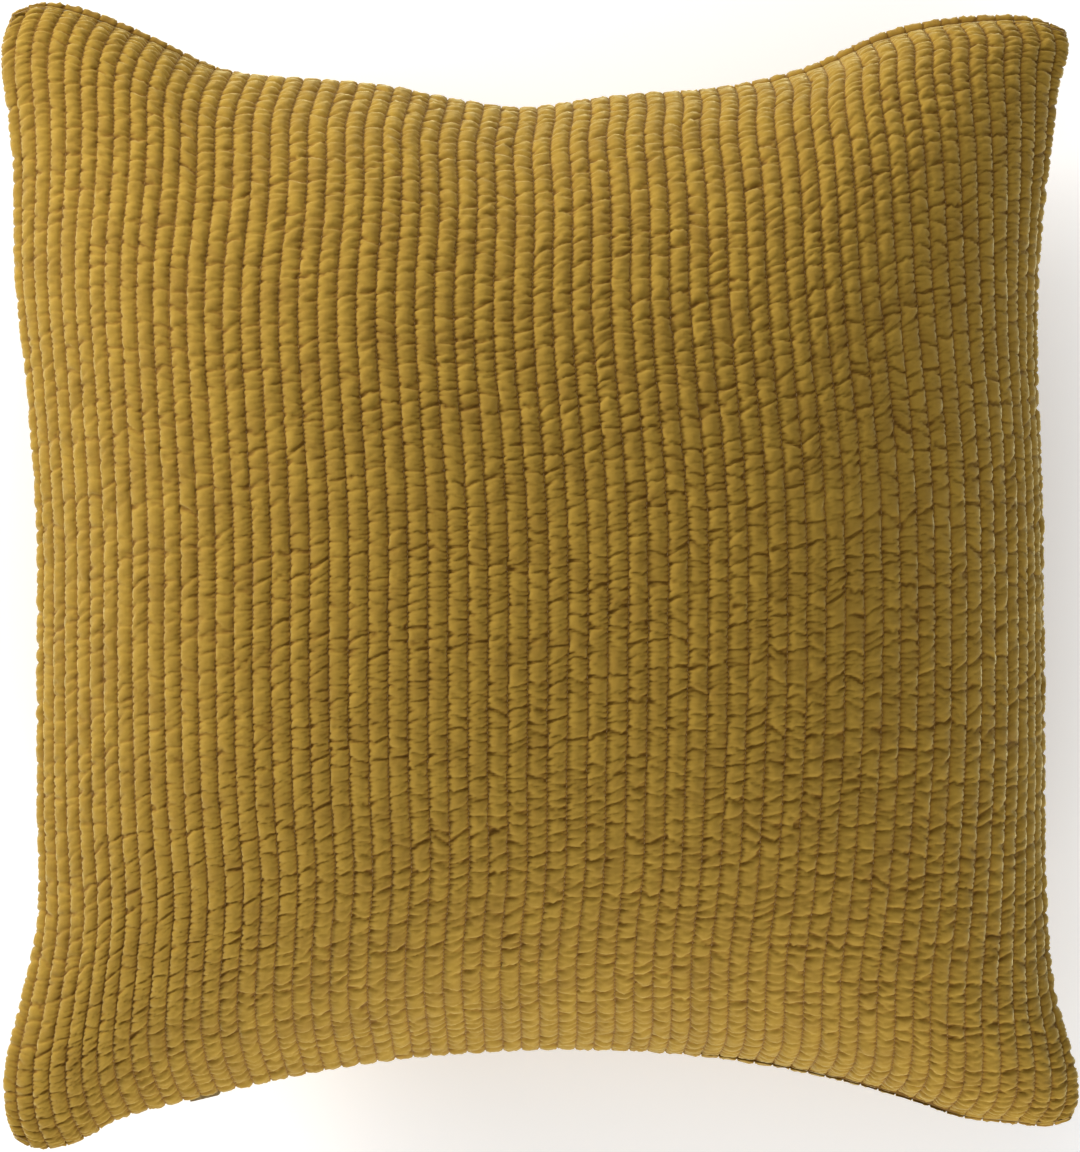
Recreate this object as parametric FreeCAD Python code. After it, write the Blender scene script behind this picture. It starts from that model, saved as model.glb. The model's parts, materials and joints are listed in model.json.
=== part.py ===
"""Channel-quilted velvet throw pillow with a concealed zip, as separate pieces.

Millimetres.  The pillow lies flat on its back: +Z is up, out of the front face, +Y runs along
the sewn channels towards the top edge, and the zip is in the bottom edge (-Y).  The origin is
on the surface it rests on, under the middle of the pillow.

Every layer is worked out from the seam plane, the flat plane where the two panels meet.  The
plan outline has concave arcs along the top and bottom edges, and the zip follows the bottom one.
"""
import FreeCAD, Part
import math
import os

# --- Plan outline, corner to corner -------------------------------------------------------
PLAN_WIDTH = 500.0
PLAN_HEIGHT = 526.0
END_DIP = 46.5            # how far the top and bottom edges pull in between their corners
SIDE_DIP = 17.0           # how far the two sides pull in between their corners
CORNER_ROUND = 20.0

# --- Thickness, either side of the seam plane ---------------------------------------------
FRONT_CROWN = 98.0
BACK_CROWN = 82.0         # depth the back would have if nothing flattened it
FRONT_FLATTENING = 0.6    # the middle of the front is level over this much of its height
REST_FLATTENING = 10.0    # how much of the back's depth the surface under it presses flat
EDGE_ROLL = 3.3           # height of a panel's rolled edge beside the seam

# --- The quilted panels -------------------------------------------------------------------
VELVET = 1.6
WADDING = 4.0
BACKING = 0.5
QUILT_THREAD = 0.5
CHANNEL_PITCH = 8.3       # measured along the middle of the stuffed pillow
CHANNELS = 60
LAYER_GAP = 0.5           # air between one cloth layer and the next

# --- Edge seam ----------------------------------------------------------------------------
SEAM_GAP = 0.5            # half the space between the two seam allowances
ALLOWANCE = 12.0          # width of cloth turned in at the seam
SEAM_THREAD_WIDTH = 1.2
SEAM_THREAD_THICKNESS = 0.4
SEAM_THREAD_INSET = 1.0
OVERLOCK_WIDTH = 0.8
THREAD_GAP = 0.3          # air between a thread and the cloth beside it

# --- Care label, caught in the right-hand seam --------------------------------------------
LABEL_WIDTH = 25.0
LABEL_THICKNESS = 0.3
LABEL_PLACE = 60.0        # its middle, above the middle of the pillow
LABEL_START = 3.0         # inset of its sewn end, just inside the line of seam thread

# --- Inner pad ----------------------------------------------------------------------------
PAD_GAP = 2.0             # between the pad's edge and the seam allowances
PAD_CLOTH = 0.7
PAD_JOIN_GAP = 0.15       # half the space between the pad's two cloth halves

# --- Zip, measured from the bottom edge's arc inwards -------------------------------------
ZIP_LENGTH = 350.0
TAPE_TAIL = 12.0          # tape past each end of the coils
COIL_START = 1.0
COIL_WIDTH = 3.5
COIL_HALF_HEIGHT = 0.6
COIL_PARTING = 0.05       # half the space between the two coils
TAPE_WIDTH = 12.0
TAPE_THICKNESS = 0.5
TAPE_OFFSET = 0.8         # seam plane to the near side of each tape
STOP_LENGTH = 2.5
ZIP_STITCH_INSET = 9.0
POCKET_CLEARANCE = 0.4    # slider to the cloth round it

SLIDER_LENGTH = 9.0
SLIDER_PLATE = 0.8
SLIDER_WALL = 1.6
SLIDER_DEPTH = 7.5
SLIDER_RUNNING_GAP = 0.3
SLIDER_END_GAP = 3.0      # slider to the stop that it rests against

LUG_WIDTH = 3.0
LUG_THICKNESS = 0.8
LUG_REACH = 3.8
PIN_RADIUS = 0.7
PIN_STANDOFF = 2.4        # pin axis to the slider's outer wall
PULL_THICKNESS = 1.6
PULL_LENGTH = 15.0
PULL_NECK = 3.2
PULL_END = 4.4
PULL_HOLE_GAP = 0.1

# --- Worked out from the sizes above ------------------------------------------------------
HALF_WIDTH = PLAN_WIDTH / 2
HALF_HEIGHT = PLAN_HEIGHT / 2
CORNER_X = HALF_WIDTH - CORNER_ROUND
CORNER_Y = HALF_HEIGHT - CORNER_ROUND


def tangent_radius(dip, run):
    """Radius of an edge's arc that touches both rounded corners and dips this far between them."""
    return ((CORNER_ROUND - dip) ** 2 + run ** 2 - CORNER_ROUND ** 2) / (2 * dip)


SIDE_RADIUS = tangent_radius(SIDE_DIP, CORNER_Y)
END_RADIUS = tangent_radius(END_DIP, CORNER_X)
SIDE_CENTRE = HALF_WIDTH - SIDE_DIP + SIDE_RADIUS
ARC_CENTRE = HALF_HEIGHT - END_DIP + END_RADIUS
FRONT_DEPTH = FRONT_CROWN - FRONT_FLATTENING
BACK_DEPTH = BACK_CROWN - REST_FLATTENING
EDGE_TOP = SEAM_GAP + EDGE_ROLL
PAD_INSET = ALLOWANCE + THREAD_GAP + OVERLOCK_WIDTH + PAD_GAP

WADDING_DROP = VELVET + LAYER_GAP
BACKING_DROP = WADDING_DROP + WADDING + LAYER_GAP
THREAD_DROP = BACKING_DROP + BACKING + LAYER_GAP
PAD_DROP = THREAD_DROP + QUILT_THREAD + LAYER_GAP

TAPE_TOP = TAPE_OFFSET + TAPE_THICKNESS
CHANNEL_HALF = TAPE_TOP + SLIDER_RUNNING_GAP
SLIDER_HALF = CHANNEL_HALF + SLIDER_PLATE
POCKET_HALF = SLIDER_HALF + POCKET_CLEARANCE
ZIP_HALF = ZIP_LENGTH / 2
TAPE_HALF = ZIP_HALF + TAPE_TAIL
SLIDER_PLACE = -(ZIP_HALF - STOP_LENGTH - SLIDER_END_GAP - SLIDER_LENGTH / 2)

ROUND_POINTS = 6          # spans round each corner of a domed surface
SIDE_POINTS = 10          # spans from a corner to the middle of an edge
RISE_POINTS = 12          # spans from the level middle out to the edge
MARGIN = 2.0              # how far a cutting block runs past what it cuts
THINNEST = 0.001          # an upright edge lower than this is no face at all


def vec(x, y, z):
    return FreeCAD.Vector(x, y, z)


# --- Plan outline -------------------------------------------------------------------------
# Seen from above the outline is four concave arcs joined by rounded corners.  Drawing it in by
# an inset keeps every centre and changes only the radii.

def corner_joins(inset):
    """Where the top right corner's arc meets the side's arc and the top edge's arc."""
    side = math.atan2(CORNER_Y, CORNER_X - SIDE_CENTRE)
    end = math.atan2(CORNER_X, ARC_CENTRE - CORNER_Y)
    side_radius = SIDE_RADIUS + inset
    end_radius = END_RADIUS + inset
    on_side = (SIDE_CENTRE + side_radius * math.cos(side), side_radius * math.sin(side))
    on_end = (end_radius * math.sin(end), ARC_CENTRE - end_radius * math.cos(end))
    return on_side, on_end


def outline_wire(inset, z):
    """The outline drawn in by the inset, as arcs in the plane at z."""
    (side_x, side_y), (end_x, end_y) = corner_joins(inset)
    bend = (CORNER_ROUND - inset) / math.sqrt(2)
    edges = []
    for sign_x, sign_y in ((1, 1), (-1, 1), (-1, -1), (1, -1)):
        start = vec(sign_x * side_x, sign_y * side_y, z)
        middle = vec(sign_x * (CORNER_X + bend), sign_y * (CORNER_Y + bend), z)
        stop = vec(sign_x * end_x, sign_y * end_y, z)
        edges.append(Part.Arc(start, middle, stop).toShape())
    for sign in (1, -1):
        middle = vec(sign * (HALF_WIDTH - SIDE_DIP - inset), 0, z)
        ends = [vec(sign * side_x, way * side_y, z) for way in (-1, 1)]
        edges.append(Part.Arc(ends[0], middle, ends[1]).toShape())
        middle = vec(0, sign * (HALF_HEIGHT - END_DIP - inset), z)
        ends = [vec(way * end_x, sign * end_y, z) for way in (-1, 1)]
        edges.append(Part.Arc(ends[0], middle, ends[1]).toShape())
    return Part.Wire(Part.__sortEdges__(edges))


def plate(inset, z0, z1):
    """Flat plate of the outline drawn in by the inset."""
    return Part.Face(outline_wire(inset, z0)).extrude(vec(0, 0, z1 - z0))


def ring(inset, width, z0, z1):
    """Flat band that follows the outline."""
    return plate(inset, z0, z1).cut(plate(inset + width, z0 - MARGIN, z1 + MARGIN))


def directions():
    """Angles round the pillow, closer together at the corners, ending where they began."""
    on_side, on_end = corner_joins(0)
    first = math.atan2(on_side[1], on_side[0])
    last = math.atan2(on_end[1], on_end[0])
    quarter = [first * math.sin(math.pi / 2 * i / SIDE_POINTS) for i in range(SIDE_POINTS)]
    quarter += [first + (last - first) * i / ROUND_POINTS for i in range(ROUND_POINTS)]
    rest = math.pi / 2 - last
    quarter += [math.pi / 2 - rest * math.cos(math.pi / 2 * i / SIDE_POINTS)
                for i in range(SIDE_POINTS)]
    half = quarter + [math.pi - angle for angle in reversed(quarter[1:])]
    half.insert(len(quarter), math.pi / 2)
    return half + [math.pi + angle for angle in half] + [2 * math.pi]


def far_crossing(angle, x, y, radius, sign):
    """Distance along a ray from the middle to where it crosses a circle."""
    along_ray = x * math.cos(angle) + y * math.sin(angle)
    return along_ray + sign * math.sqrt(along_ray ** 2 - x * x - y * y + radius ** 2)


def outline_reach(angle, inset):
    """Distance from the middle to the outline drawn in by the inset."""
    folded = math.atan2(abs(math.sin(angle)), abs(math.cos(angle)))
    on_side, on_end = corner_joins(inset)
    if folded < math.atan2(on_side[1], on_side[0]):
        return far_crossing(folded, SIDE_CENTRE, 0, SIDE_RADIUS + inset, -1)
    if folded > math.atan2(on_end[1], on_end[0]):
        return far_crossing(folded, 0, ARC_CENTRE, END_RADIUS + inset, -1)
    return far_crossing(folded, CORNER_X, CORNER_Y, CORNER_ROUND - inset, 1)


# --- Domed surfaces -----------------------------------------------------------------------

def crest(t):
    """Stuffed profile across the pillow: 1 in the middle, 0 at the seam, about 50 degrees there."""
    return 1 - 0.45 * t ** 2 - 0.55 * t ** 4


def rise(x, y, crown):
    """Height of a panel's outer face over the seam plane."""
    u = x / (SIDE_CENTRE - math.sqrt(SIDE_RADIUS ** 2 - y * y))
    v = y / (ARC_CENTRE - math.sqrt(END_RADIUS ** 2 - x * x))
    return EDGE_TOP + (crown - EDGE_TOP) * crest(u) * crest(v)


def level_reach(angle, crown, level):
    """Distance from the middle to where a panel's outer face comes down to a level."""
    near, far = 0.0, outline_reach(angle, 0)
    for _ in range(50):
        middle = (near + far) / 2
        if rise(middle * math.cos(angle), middle * math.sin(angle), crown) > level:
            near = middle
        else:
            far = middle
    return near


def level_inside(crown, inset):
    """Lowest level whose contour is at least this far in from the outline all round."""
    found = []
    for angle in directions():
        reach = outline_reach(angle, inset)
        found.append(rise(reach * math.cos(angle), reach * math.sin(angle), crown))
    return max(found)


def flattened(curve, z):
    """The same curve laid in the plane at z."""
    flat = curve.copy()
    for i in range(1, flat.NbPoles + 1):
        pole = flat.getPole(i)
        flat.setPole(i, vec(pole.x, pole.y, z))
    return flat


def closed(faces):
    """One solid from faces that share their borders."""
    compound = Part.makeCompound(faces)
    compound.sewShape()
    solid = Part.makeSolid(Part.makeShell(compound.Faces))
    if solid.Volume < 0:
        solid.reverse()
    return solid


def flat_face(curve):
    return Part.Face(Part.Wire([curve.toShape()]))


def dome_faces(crown, depth, reaches, drop, floor):
    """Faces of a dome without its base, and the base's edge on the floor."""
    rows = []
    for angle, reach in zip(directions(), reaches):
        level = level_reach(angle, crown, depth)
        row = []
        for i in range(RISE_POINTS + 1):
            distance = level + (reach - level) * i / RISE_POINTS
            x, y = distance * math.cos(angle), distance * math.sin(angle)
            height = depth if i == 0 else rise(x, y, crown)
            row.append(vec(x, y, height - drop))
        rows.append(row)
    rows[-1] = rows[0]
    side = Part.BSplineSurface()
    side.interpolate(rows)
    inner = side.vIso(side.bounds()[2])
    outer = side.vIso(side.bounds()[3])
    base = flattened(outer, floor)
    faces = [side.toShape(), flat_face(flattened(inner, depth - drop))]
    if max(row[-1].z for row in rows) - floor > THINNEST:
        faces.append(Part.makeRuledSurface(outer.toShape(), base.toShape()))
    return faces, flat_face(base)


def dome(crown, depth, reaches, drop, floor):
    """Solid from the floor up to a panel's outer face lowered by drop, level at the depth.

    reaches holds the distance from the middle to the solid's edge for each of the directions.
    """
    faces, base = dome_faces(crown, depth, reaches, drop, floor)
    return closed(faces + [base])


def outline_dome(crown, depth, floor):
    """Dome over the whole outline."""
    return dome(crown, depth, [outline_reach(angle, 0) for angle in directions()], 0, floor)


def level_dome(crown, depth, level, drop, floor):
    """Dome whose edge is the contour where the panel's outer face comes down to the level."""
    reaches = [level_reach(angle, crown, level) for angle in directions()]
    return dome(crown, depth, reaches, drop, floor)


# --- Pieces that follow the bottom edge's arc ---------------------------------------------

def along(shape, s):
    """Shape turned round the arc's centre, from the middle of the bottom edge to s along it."""
    turned = shape.copy()
    turned.rotate(vec(0, -ARC_CENTRE, 0), vec(0, 0, 1), -math.degrees(s / END_RADIUS))
    return turned


def arc_bar(inset0, inset1, z0, z1, s0, s1):
    """Bar of rectangular section between two insets and heights, from s0 to s1 along the arc."""
    y0 = END_RADIUS + inset0 - ARC_CENTRE
    y1 = END_RADIUS + inset1 - ARC_CENTRE
    corners = [vec(0, y0, z0), vec(0, y1, z0), vec(0, y1, z1), vec(0, y0, z1), vec(0, y0, z0)]
    face = Part.Face(Part.makePolygon(corners))
    sweep = math.degrees((s1 - s0) / END_RADIUS)
    return along(face.revolve(vec(0, -ARC_CENTRE, 0), vec(0, 0, 1), sweep), s1)


def zip_room():
    """Space that the zip takes out of the seam."""
    half = TAPE_HALF + MARGIN
    return arc_bar(-MARGIN, PAD_INSET, -POCKET_HALF, POCKET_HALF, -half, half)


# --- Quilted panels, built upwards from the seam plane ------------------------------------

def allowance_top(crown):
    """Top of the turned-in edge, where the hollow inside the velvet begins."""
    return level_inside(crown, VELVET) - VELVET


def layer_floor(crown):
    return allowance_top(crown) + LAYER_GAP


def layer_faces(crown, depth, drop):
    """Faces and base of the dome under the velvet that stands on the layers' floor."""
    floor = layer_floor(crown)
    reaches = [level_reach(angle, crown, floor + drop) for angle in directions()]
    return dome_faces(crown, depth, reaches, drop, floor)


def velvet_panel(crown, depth):
    """Face cloth with its edge turned in, parted along the bottom edge for the zip."""
    top = allowance_top(crown)
    hollow = level_dome(crown, depth, top + VELVET, VELVET, top)
    mouth = plate(ALLOWANCE, -MARGIN, top + THREAD_GAP)
    cloth = outline_dome(crown, depth, SEAM_GAP).cut(hollow).cut(mouth)
    return cloth.cut(zip_room())


def inner_layer(crown, depth, drop, thickness):
    """Cloth layer under the velvet, closed by a ring on the floor between its two domes."""
    outer_faces, outer_base = layer_faces(crown, depth, drop)
    inner_faces, inner_base = layer_faces(crown, depth, drop + thickness)
    return closed(outer_faces + inner_faces + outer_base.cut(inner_base).Faces)


def thread_lines(x, crown, depth, drop):
    """Upright slice of a layer's dome at x, as a face in the plane of x."""
    floor = layer_floor(crown)
    edge = ARC_CENTRE - math.sqrt(END_RADIUS ** 2 - x * x)
    points = []
    for i in range(2 * RISE_POINTS + 1):
        y = edge * math.sin(math.pi / 2 * (i / RISE_POINTS - 1))
        points.append(vec(x, y, rise(x, y, crown) - drop))
    curve = Part.BSplineCurve()
    curve.interpolate(points)
    first, last = points[0], points[-1]
    below = first.z - MARGIN
    sides = Part.makePolygon([last, vec(x, last.y, below), vec(x, first.y, below), first])
    face = Part.Face(Part.Wire([curve.toShape()] + sides.Edges))
    level = depth - drop
    limit = [vec(x, first.y - MARGIN, floor), vec(x, last.y + MARGIN, floor),
             vec(x, last.y + MARGIN, level), vec(x, first.y - MARGIN, level),
             vec(x, first.y - MARGIN, floor)]
    return face.common(Part.Face(Part.makePolygon(limit)))


def quilting_thread(crown, depth):
    """One line of thread under the backing between each channel and the next."""
    lines = []
    for i in range(1, CHANNELS):
        x = (i - CHANNELS / 2) * CHANNEL_PITCH
        if rise(x, 0, crown) < layer_floor(crown) + PAD_DROP + EDGE_ROLL:
            continue
        outward = 1 if x >= 0 else -1
        side = x + outward * QUILT_THREAD / 2
        upper = thread_lines(side, crown, depth, THREAD_DROP)
        line = upper.cut(thread_lines(side, crown, depth, THREAD_DROP + QUILT_THREAD))
        lines += line.extrude(vec(-outward * QUILT_THREAD, 0, 0)).Solids
    return Part.makeCompound(lines)


def overlock_thread(crown):
    """Thread over the raw edge of one panel, left out where the zip is."""
    band = ring(ALLOWANCE + THREAD_GAP, OVERLOCK_WIDTH, SEAM_GAP, allowance_top(crown))
    return band.cut(zip_room())


def pad_reaches(gap):
    """Distances to the pad's edge drawn in by a gap, the same for its front and back halves."""
    found = []
    for crown in (FRONT_CROWN, BACK_CROWN):
        level = level_inside(crown, PAD_INSET + gap)
        found.append([level_reach(angle, crown, level) for angle in directions()])
    return [min(pair) for pair in zip(*found)]


def pad_cloth(crown, depth):
    """Half of the inner pad's cotton cover."""
    outside = dome(crown, depth, pad_reaches(0), PAD_DROP, PAD_JOIN_GAP)
    inside = dome(crown, depth, pad_reaches(PAD_CLOTH), PAD_DROP + PAD_CLOTH, -MARGIN)
    return outside.cut(inside)


def pad_filling(crown, depth):
    """Half of the loose filling, up to the seam plane."""
    gap = PAD_CLOTH + LAYER_GAP
    return dome(crown, depth, pad_reaches(gap), PAD_DROP + gap, 0)


# --- Pieces at the seam plane -------------------------------------------------------------

def edge_seam_thread():
    """Line of thread that joins the panels, left out where the zip is."""
    half = SEAM_THREAD_THICKNESS / 2
    band = ring(SEAM_THREAD_INSET, SEAM_THREAD_WIDTH, -half, half)
    return band.cut(zip_room())


def care_label():
    edge = SIDE_CENTRE - math.sqrt(SIDE_RADIUS ** 2 - LABEL_PLACE ** 2)
    length = PAD_INSET - LABEL_START - THREAD_GAP - PAD_GAP / 2
    corner = vec(edge - LABEL_START - length, LABEL_PLACE - LABEL_WIDTH / 2,
                 -LABEL_THICKNESS / 2)
    return Part.makeBox(length, LABEL_WIDTH, LABEL_THICKNESS, corner)


def pad_seam_thread():
    """Thread round the pad where its two cloth halves are closed."""
    loops = []
    for gap in (THREAD_GAP, THREAD_GAP + QUILT_THREAD):
        points = []
        for angle, reach in zip(directions()[:-1], pad_reaches(0)):
            x, y = (reach + gap) * math.cos(angle), (reach + gap) * math.sin(angle)
            points.append(vec(x, y, PAD_JOIN_GAP))
        curve = Part.BSplineCurve()
        curve.interpolate(points, PeriodicFlag=True)
        loops.append(flat_face(curve).extrude(vec(0, 0, QUILT_THREAD)))
    return loops[1].cut(loops[0])


# --- Zip ----------------------------------------------------------------------------------

def zip_tape():
    inset = COIL_START
    return arc_bar(inset, inset + TAPE_WIDTH, TAPE_OFFSET, TAPE_TOP, -TAPE_HALF, TAPE_HALF)


def zip_coil():
    """One side of the closed coil, as a plain strip of the coil's outer size."""
    half = ZIP_HALF - STOP_LENGTH - THREAD_GAP
    return arc_bar(COIL_START, COIL_START + COIL_WIDTH, COIL_PARTING, COIL_HALF_HEIGHT,
                   -half, half)


def zip_stitching():
    """Line of thread that holds one tape to its panel's placket."""
    half = TAPE_HALF - MARGIN
    return arc_bar(ZIP_STITCH_INSET, ZIP_STITCH_INSET + QUILT_THREAD,
                   TAPE_TOP + THREAD_GAP / 2, POCKET_HALF - THREAD_GAP / 2, -half, half)


def top_stop():
    return arc_bar(COIL_START, COIL_START + COIL_WIDTH, COIL_PARTING, COIL_HALF_HEIGHT,
                   -ZIP_HALF, -ZIP_HALF + STOP_LENGTH)


def bottom_stop():
    return arc_bar(COIL_START, COIL_START + COIL_WIDTH, -COIL_HALF_HEIGHT, COIL_HALF_HEIGHT,
                   ZIP_HALF - STOP_LENGTH, ZIP_HALF)


def pin_y():
    """Distance of the pull's pin from the arc's middle point, along Y, before it is turned."""
    wall = COIL_START - SLIDER_RUNNING_GAP - SLIDER_WALL
    return END_RADIUS + wall - PIN_STANDOFF - ARC_CENTRE


def slider():
    """Slider body that runs over both tapes, with two lugs and the pin that holds the pull."""
    half = SLIDER_LENGTH / 2
    channel = COIL_START - SLIDER_RUNNING_GAP
    wall = channel - SLIDER_WALL
    body = arc_bar(wall, wall + SLIDER_DEPTH, -SLIDER_HALF, SLIDER_HALF, -half, half)
    body = body.cut(arc_bar(channel, PAD_INSET, -CHANNEL_HALF, CHANNEL_HALF,
                            -half - MARGIN, half + MARGIN))
    inner = PULL_THICKNESS / 2 + SLIDER_RUNNING_GAP
    outer = inner + LUG_THICKNESS
    wall_y = END_RADIUS + wall - ARC_CENTRE
    for z in (-outer, inner):
        lug = Part.makeBox(LUG_WIDTH, LUG_REACH + SLIDER_WALL / 2, LUG_THICKNESS,
                           vec(-LUG_WIDTH / 2, wall_y - LUG_REACH, z))
        body = body.fuse(lug)
    pin = Part.makeCylinder(PIN_RADIUS, 2 * outer, vec(0, pin_y(), -outer))
    return along(body.fuse(pin).removeSplitter(), SLIDER_PLACE)


def pull():
    """Flat tab with an eye for the pin, lying along the closed seam."""
    z0 = -PULL_THICKNESS / 2
    eye = Part.makeCylinder(PULL_NECK / 2, PULL_THICKNESS, vec(0, pin_y(), z0))
    end_x = PULL_LENGTH - PULL_NECK / 2 - PULL_END / 2
    end = Part.makeCylinder(PULL_END / 2, PULL_THICKNESS, vec(end_x, pin_y(), z0))
    corners = [vec(0, pin_y() - PULL_NECK / 2, z0), vec(end_x, pin_y() - PULL_END / 2, z0),
               vec(end_x, pin_y() + PULL_END / 2, z0), vec(0, pin_y() + PULL_NECK / 2, z0),
               vec(0, pin_y() - PULL_NECK / 2, z0)]
    neck = Part.Face(Part.makePolygon(corners)).extrude(vec(0, 0, PULL_THICKNESS))
    hole = Part.makeCylinder(PIN_RADIUS + PULL_HOLE_GAP, PULL_THICKNESS + 2 * MARGIN,
                             vec(0, pin_y(), z0 - MARGIN))
    return along(eye.fuse(end).fuse(neck).removeSplitter().cut(hole), SLIDER_PLACE)


# --- Assembly -----------------------------------------------------------------------------

def turned_over(shape):
    """Mirror image below the seam plane."""
    return shape.mirror(vec(0, 0, 0), vec(0, 0, 1))


def pieces():
    """Every piece by name, placed about the seam plane."""
    found = {}
    faces = {"front": (FRONT_CROWN, FRONT_DEPTH, lambda shape: shape),
             "back": (BACK_CROWN, BACK_DEPTH, turned_over)}
    for face, (crown, depth, placed) in faces.items():
        found[face + "_velvet"] = placed(velvet_panel(crown, depth))
        found[face + "_wadding"] = placed(inner_layer(crown, depth, WADDING_DROP, WADDING))
        found[face + "_backing"] = placed(inner_layer(crown, depth, BACKING_DROP, BACKING))
        found[face + "_quilting_thread"] = placed(quilting_thread(crown, depth))
        found[face + "_overlock_thread"] = placed(overlock_thread(crown))
        found["pad_cover_" + face] = placed(pad_cloth(crown, depth))
        found["zip_tape_" + face] = placed(zip_tape())
        found["zip_coil_" + face] = placed(zip_coil())
        found["zip_stitching_" + face] = placed(zip_stitching())
    found["edge_seam_thread"] = edge_seam_thread()
    found["care_label"] = care_label()
    found["pad_seam_thread"] = pad_seam_thread()
    found["pad_filling"] = Part.makeCompound([
        pad_filling(FRONT_CROWN, FRONT_DEPTH),
        turned_over(pad_filling(BACK_CROWN, BACK_DEPTH))])
    found["zip_top_stops"] = Part.makeCompound([top_stop(), turned_over(top_stop())])
    found["zip_bottom_stop"] = bottom_stop()
    found["zip_slider"] = slider()
    found["zip_pull"] = pull()
    return found


os.makedirs("parts", exist_ok=True)
for name, shape in pieces().items():
    placed = shape.copy()
    placed.translate(vec(0, 0, BACK_DEPTH))
    placed.exportStep(f"parts/{name}.step")
    box = placed.BoundBox
    print(f"{name}: {len(placed.Solids)} solid(s), {placed.Volume / 1000:.2f} cm3,",
          f"valid {placed.isValid()}, x {box.XMin:.1f} {box.XMax:.1f},",
          f"y {box.YMin:.1f} {box.YMax:.1f}, z {box.ZMin:.2f} {box.ZMax:.2f}")
print(f"arc centre y {-ARC_CENTRE:.3f}, radius {END_RADIUS:.3f}, slider at {SLIDER_PLACE:.2f}")
turn = SLIDER_PLACE / END_RADIUS
pin_r = pin_y() + ARC_CENTRE
print(f"pin at x {pin_r * math.sin(turn):.4f}, y {pin_r * math.cos(turn) - ARC_CENTRE:.4f}")
travel = 2 * -SLIDER_PLACE
print(f"slider travel {travel:.1f} mm, {math.degrees(travel / END_RADIUS):.3f} degrees")
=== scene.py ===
"""The looks of the channel-quilted velvet throw pillow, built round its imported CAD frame.

Metres, in the frame's own axes: the pillow lies on its back, +Z out of its front, +Y along its
channels.  Each velvet panel is simulated as cloth sewn down along its channel lines, flat, and
is then laid over the stuffed shape.
"""
import json
import math

import bpy
import numpy as np
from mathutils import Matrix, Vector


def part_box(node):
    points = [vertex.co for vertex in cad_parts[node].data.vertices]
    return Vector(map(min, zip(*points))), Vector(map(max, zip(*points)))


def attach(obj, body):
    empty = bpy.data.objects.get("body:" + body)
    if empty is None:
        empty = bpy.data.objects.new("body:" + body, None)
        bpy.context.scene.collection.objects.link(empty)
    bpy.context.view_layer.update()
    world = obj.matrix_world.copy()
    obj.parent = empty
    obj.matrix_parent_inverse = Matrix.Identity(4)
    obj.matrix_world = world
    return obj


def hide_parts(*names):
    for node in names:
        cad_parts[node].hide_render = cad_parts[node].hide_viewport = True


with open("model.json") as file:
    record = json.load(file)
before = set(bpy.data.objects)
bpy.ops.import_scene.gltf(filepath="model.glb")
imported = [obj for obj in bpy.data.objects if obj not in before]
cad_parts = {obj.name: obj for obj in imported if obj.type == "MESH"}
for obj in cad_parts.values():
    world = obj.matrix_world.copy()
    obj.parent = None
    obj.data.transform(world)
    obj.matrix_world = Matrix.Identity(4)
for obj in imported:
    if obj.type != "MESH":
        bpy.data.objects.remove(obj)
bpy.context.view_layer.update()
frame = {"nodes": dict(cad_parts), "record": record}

MM = 0.001
UP, DOWN = 1, -1
FRONT_SEED, BACK_SEED = 11, 23

# --- The cover as cut and sewn -------------------------------------------------------------
CHANNELS = 60
CHANNEL_WIDTH = 9.3 * MM        # between stitch lines, laid flat
COVER_LENGTH = 559 * MM         # along the channels, laid flat
CELL_EDGES = (0, 0.11, 0.3, 0.5, 0.7, 0.89)     # mesh lines across each channel
CELLS = len(CELL_EDGES)
ROWS = 540                      # mesh cells along each channel
PUFF = 2.1 * MM                 # height of a channel over its stitch lines
EASE_ACROSS = 0.12              # extra velvet between two stitch lines, over the wadding
EASE_ALONG = 0.14               # extra velvet that the sewing gathers along each line
PUFF_PROFILE = (3, 0.7)         # powers of a channel's section
PUFF_UNEVENNESS = 0.5
LEAST_PUFF = 0.05 * MM
MOST_PUFF = 1.5 * PUFF
PUCKER_DEPTH = 0.8              # share of the height that a deep pucker takes
PUCKER_WIDTH = 1.05 * MM
PUCKER_STRENGTHS = (0.1, 1.15)  # from the faintest to the deepest
PUCKER_DRIFT = (1.1 * MM, 1.3 * MM)     # mean and spread, from one channel to the next
PUCKER_TILT = (0.12, 0.28)      # mean and spread of a pucker's slope
PUCKER_BOW = 0.35
PUCKER_CARRY = 0.45             # share of a pucker's strength that the next channel keeps
PUCKERS_CLOSEST, PUCKERS_WIDEST = 0.45, 1.9     # shares of the usual space between them
PUCKERS_ADDED = (0.7, 1.2)      # the same for those added in a wide space
PUCKERS_APART = 8.2 * MM        # between one pucker and the next, in the middle of the pillow
PUCKERS_APART_AT_SEAM = 6.4 * MM
TUCKS_APART = 4.2 * MM          # between the short creases that start at a stitch line
TUCK_STRENGTHS = (0.1, 1.2)
TUCK_REACHES = (1.5, 4.5)       # mm towards the middle of the channel
LINE_STRETCH = (24, 0.5 * MM)   # changes along a stitch line, and how large they are
LINE_WANDER = (150, 0.32 * MM)  # the same, sideways
THREAD_STIFFNESS = 0.9
SLANT_STIFFNESS = 0.3
BEND_STIFFNESS = 0.06
SETTLING_STEPS = 30
RISE_PER_STEP = 0.012 * MM      # what the wadding lifts the velvet by, where it isn't creased
CREASE_PULL = 1.8
END_FLATTENING = {UP: 0.7, DOWN: 0.85}  # how much less the channels puff at the end seams
END_REACH = 10 * MM
SEAM_GATHER = 50 * MM           # reach of the closer puckers from the top and bottom seams
STITCH_PITCH = 2.4 * MM
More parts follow.
